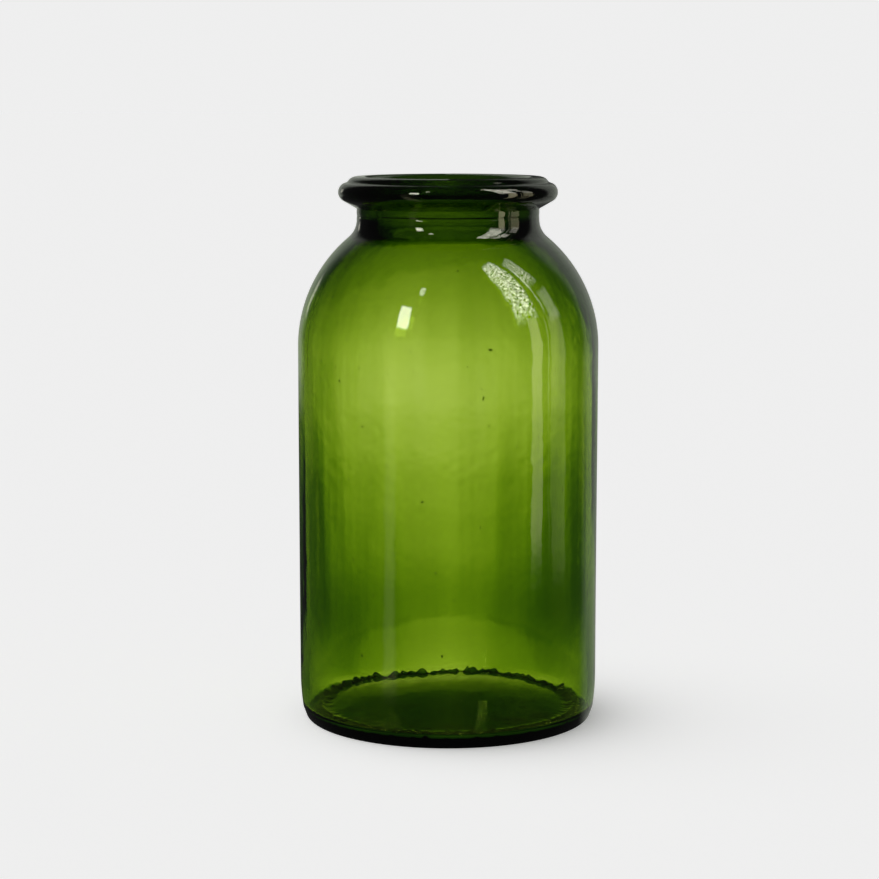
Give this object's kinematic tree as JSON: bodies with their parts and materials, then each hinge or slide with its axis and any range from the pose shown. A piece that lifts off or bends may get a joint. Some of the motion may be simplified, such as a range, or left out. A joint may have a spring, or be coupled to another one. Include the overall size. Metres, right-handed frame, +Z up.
{
  "type": "apothecary jar",
  "caption": "Open wide-mouth apothecary jar of hand-blown green glass, with straight sides, a round shoulder, a short neck, a thick lip ring and a pushed-up base.",
  "frame": {"origin": "centre of the circle that the jar stands on", "axes": "+Z up along the jar's axis, from the foot to the mouth"},
  "size_m": [0.11, 0.11, 0.2],
  "materials": {
    "green_glass": "clear olive-green hand-blown glass, fire polished, with seeds and faint ripples"
  },
  "bodies": {
    "root": {"blown_body": "green_glass", "lip_ring": "green_glass"}
  },
  "joints": []
}
